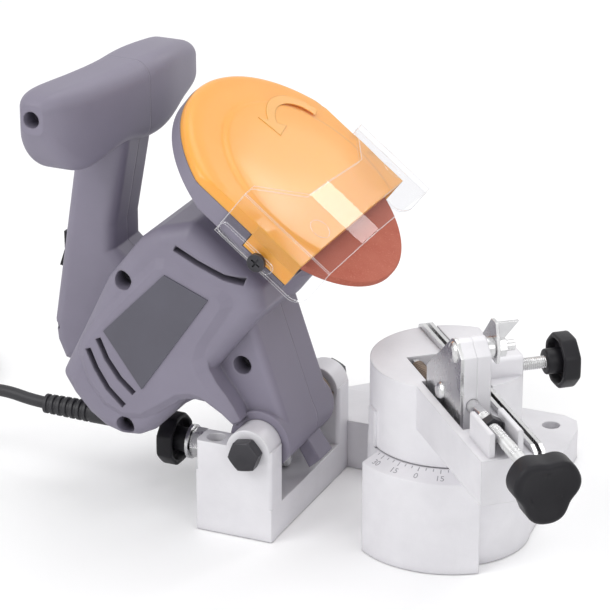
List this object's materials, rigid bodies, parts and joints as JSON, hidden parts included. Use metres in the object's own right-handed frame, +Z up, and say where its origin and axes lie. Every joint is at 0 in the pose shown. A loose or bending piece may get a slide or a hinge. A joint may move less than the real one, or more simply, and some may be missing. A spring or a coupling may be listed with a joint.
{
  "type": "bench chain sharpener",
  "caption": "Bench grinder for saw chains: a motor head with a thin abrasive disc under an orange guard tilts down over a swivelling chain vise on a cast base.",
  "frame": {"origin": "on the bench, at the foot of the bench hole in the near cheek of the bracket", "axes": "+X from the pivot bracket towards the vise, +Y to the back along the pivot bolt, +Z up along the bench hole"},
  "size_m": [0.498, 0.2521, 0.2115],
  "materials": {
    "casting": "satin die-cast",
    "housing": "fine texture",
    "orange": "gloss",
    "clear": "clear",
    "abrasive": "gritty",
    "steel": "zinc plated",
    "blackened": "black oxide",
    "spring": "oiled",
    "knob": "fine texture",
    "label": "bare",
    "core": "laminated",
    "copper": "turned",
    "lead": "smooth"
  },
  "bodies": {
    "base": {"base_casting": "casting", "pivot_bracket": "casting", "pivot_bolt": "blackened", "pivot_nut": "blackened", "lock_washer": "steel", "lift_spring": "spring", "cord_lead": "lead", "cord_coil": "lead", "mains_plug": "lead"},
    "table": {"turntable": "casting", "lock_stud": "steel", "fixed_rail": "steel", "spring_anchor": "steel", "return_spring": "spring", "rod_nut": "blackened"},
    "lock": {"lock_knob": "knob"},
    "jaw": {"moving_rail": "steel"},
    "clamp": {"clamp_screw": "steel", "clamp_knob": "knob"},
    "carriage": {"carriage_plate": "steel", "carriage_left_half": "casting", "carriage_right_half": "casting", "pawl_bolt": "steel", "side_screw": "steel", "pawl_spacer": "steel", "pawl_nut": "steel"},
    "pawl": {"chain_pawl": "steel"},
    "stop": {"stop_rod": "steel", "star_knob": "knob"},
    "depth_carrier": {"depth_washer": "steel"},
    "depth": {"depth_screw": "steel", "depth_knob": "knob", "depth_nut": "steel"},
    "head": {"housing_near": "housing", "housing_far": "housing", "tilt_heel": "housing", "housing_screws": "blackened", "rating_plate": "label", "wheel_guard": "housing", "guard_cover": "orange", "shield_screws": "blackened", "motor_stator": "core", "bearings": "steel", "strain_relief": "lead", "switch_body": "knob"},
    "spindle": {"motor_shaft": "steel", "rotor": "core", "commutator": "copper", "cooling_fan": "knob", "inner_flange": "steel", "outer_flange": "steel", "grinding_disc": "abrasive"},
    "shield": {"clear_shield": "clear"},
    "switch": {"switch_rocker": "knob"}
  },
  "joints": [
    {"name": "head_tilt", "type": "hinge", "parent": "base", "child": "head", "pos_m": [0.0191, 0.04, 0.0445], "axis": [0, 1, 0], "range_deg": [0, 26.5], "stiffness_Nm_per_rad": 0.4, "springref_deg": -17.19, "deforming": ["cord_lead"]},
    {"name": "spindle_spin", "type": "hinge", "parent": "head", "child": "spindle", "pos_m": [0.02751, 0.04, 0.15696], "axis": [0.613, 0, 0.79], "continuous": true},
    {"name": "shield_slide", "type": "slide", "parent": "head", "child": "shield", "axis": [-0.79, 0, 0.613], "range_m": [0, 0.0035]},
    {"name": "switch_rock", "type": "hinge", "parent": "head", "child": "switch", "pos_m": [-0.09393, 0.04, 0.11252], "axis": [0, 1, 0], "range_deg": [-8, 8]},
    {"name": "table_swivel", "type": "hinge", "parent": "base", "child": "table", "pos_m": [0.1015, 0.04, 0.05], "axis": [0, 0, 1], "range_deg": [0, 84]},
    {"name": "lock_turn", "type": "hinge", "parent": "table", "child": "lock", "pos_m": [0.1015, 0.04, 0.03], "axis": [0, 0, 1], "range_deg": [0, 180]},
    {"name": "jaw_slide", "type": "slide", "parent": "table", "child": "jaw", "axis": [0.7547, 0.6561, 0], "range_m": [-0.0012, 0.0016]},
    {"name": "clamp_turn", "type": "hinge", "parent": "jaw", "child": "clamp", "pos_m": [0.14547, 0.05039, 0.09], "axis": [0.7547, 0.6561, 0], "range_deg": [-440, 585]},
    {"name": "chain_stop_slide", "type": "slide", "parent": "table", "child": "carriage", "axis": [0.6561, -0.7547, 0], "range_m": [0, 0.008]},
    {"name": "chain_stop_turn", "type": "hinge", "parent": "carriage", "child": "stop", "pos_m": [0.15624, -0.04492, 0.0946], "axis": [0.6561, -0.7547, 0], "range_deg": [0, 2900]},
    {"name": "pawl_flip", "type": "hinge", "parent": "carriage", "child": "pawl", "pos_m": [0.13916, -0.00332, 0.1172], "axis": [0.7547, 0.6561, 0], "range_deg": [0, 75]},
    {"name": "depth_slide", "type": "slide", "parent": "base", "child": "depth_carrier", "axis": [-1, 0, 0], "range_m": [0, 0.008]},
    {"name": "depth_turn", "type": "hinge", "parent": "depth_carrier", "child": "depth", "pos_m": [-0.0185, 0.04, 0.021], "axis": [-1, 0, 0], "range_deg": [0, 2320]}
  ],
  "couplings": [
    {"joint": "clamp_turn", "follows": "jaw_slide", "rad_per_m": 6283.2},
    {"joint": "chain_stop_turn", "follows": "chain_stop_slide", "rad_per_m": 6283.2},
    {"joint": "depth_turn", "follows": "depth_slide", "rad_per_m": 5026.5}
  ]
}
